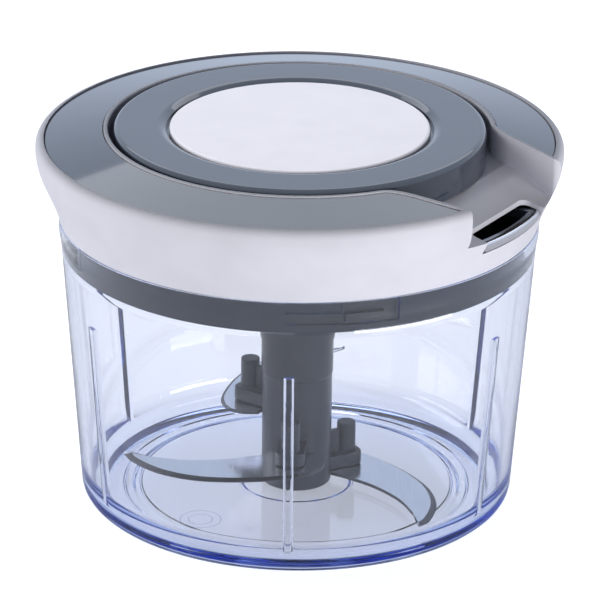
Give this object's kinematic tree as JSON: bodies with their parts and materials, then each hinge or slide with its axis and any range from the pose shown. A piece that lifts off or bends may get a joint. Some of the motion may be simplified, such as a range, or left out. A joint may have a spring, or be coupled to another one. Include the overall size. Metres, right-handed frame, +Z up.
{
  "type": "manual pull cord food chopper",
  "caption": "Clear bowl with curved blades on an upright shaft, under a lid whose sprung pull cord spins them",
  "frame": {"origin": "middle of the bowl's foot, on the surface that the chopper stands on", "axes": "+Z up the blade shaft; -Y is the front of the picture and +X its right, where the pull handle is"},
  "size_m": [0.15, 0.15, 0.112],
  "materials": {
    "clear_plastic": "clear moulded plastic with a faint blue tint",
    "white_plastic": "satin moulded plastic",
    "dark_plastic": "satin moulded plastic",
    "dark_gloss_plastic": "polished moulded plastic",
    "steel": "ground stainless steel",
    "silver_trim": "satin plated",
    "seal_rubber": "soft moulded rubber",
    "nylon": "natural nylon",
    "cord": "braided nylon cord"
  },
  "bodies": {
    "bowl": {"bowl": "clear_plastic", "pivot_pin": "steel"},
    "lid_seal": {"seal_ring": "seal_rubber"},
    "lid": {"lid_cover": "white_plastic", "rim_inlay": "dark_gloss_plastic", "spring_cap": "dark_gloss_plastic", "hub_disc": "white_plastic", "lid_base": "dark_plastic", "cap_screw_1": "steel", "cap_screw_2": "steel", "cap_screw_3": "steel", "base_screw_1": "steel", "base_screw_2": "steel", "base_screw_3": "steel", "base_screw_4": "steel", "bearing_bush": "nylon", "cord_guide": "steel", "cord_run": "cord", "cord_tail": "cord", "recoil_spring": "steel", "reel_axle": "steel"},
    "reel": {"cord_reel": "nylon", "cord_winding": "cord"},
    "pawl_a": {"pawl_a": "steel"},
    "pawl_b": {"pawl_b": "steel"},
    "drive": {"drive_hub": "nylon", "drive_clip": "steel"},
    "blades": {"blade_shaft": "dark_plastic", "foot_bush": "nylon", "lower_blade": "steel", "middle_blade": "steel", "upper_blade": "steel"},
    "pull_handle": {"handle_ring": "dark_gloss_plastic", "handle_trim": "silver_trim", "cord_knot": "cord"}
  },
  "joints": [
    {"name": "lid_lift", "type": "slide", "parent": "bowl", "child": "lid_seal", "axis": [0, 0, 1], "range_m": [0, 0.09]},
    {"name": "lid_turn", "type": "hinge", "parent": "lid_seal", "child": "lid", "pos_m": [0, 0, 0.0854], "axis": [0, 0, 1], "range_deg": [-13.4, 0]},
    {"name": "handle_pull", "type": "slide", "parent": "lid", "child": "pull_handle", "axis": [0.8526, -0.5225, 0], "range_m": [0, 0.3], "stiffness_N_per_m": 3, "springref_m": -0.3, "deforming": ["cord_tail"]},
    {"name": "reel_spin", "type": "hinge", "parent": "lid", "child": "reel", "pos_m": [0, 0, 0.094], "axis": [0, 0, 1], "range_deg": [0, 914.2]},
    {"name": "drive_spin", "type": "hinge", "parent": "lid", "child": "drive", "pos_m": [0, 0, 0.0866], "axis": [0, 0, 1], "range_deg": [0, 914.2]},
    {"name": "blade_spin", "type": "hinge", "parent": "bowl", "child": "blades", "pos_m": [0, 0, 0.004], "axis": [0, 0, 1], "range_deg": [0, 914.2]},
    {"name": "pawl_a_hinge", "type": "hinge", "parent": "reel", "child": "pawl_a", "pos_m": [0.0097, 0, 0.0937], "axis": [0, 0, 1], "range_deg": [-12, 0]},
    {"name": "pawl_b_hinge", "type": "hinge", "parent": "reel", "child": "pawl_b", "pos_m": [-0.0097, 0, 0.0937], "axis": [0, 0, 1], "range_deg": [-12, 0]}
  ],
  "couplings": [
    {"joint": "handle_pull", "follows": "blade_spin", "m_per_rad": 0.0188},
    {"joint": "reel_spin", "follows": "blade_spin", "ratio": 1},
    {"joint": "drive_spin", "follows": "blade_spin", "ratio": 1}
  ]
}
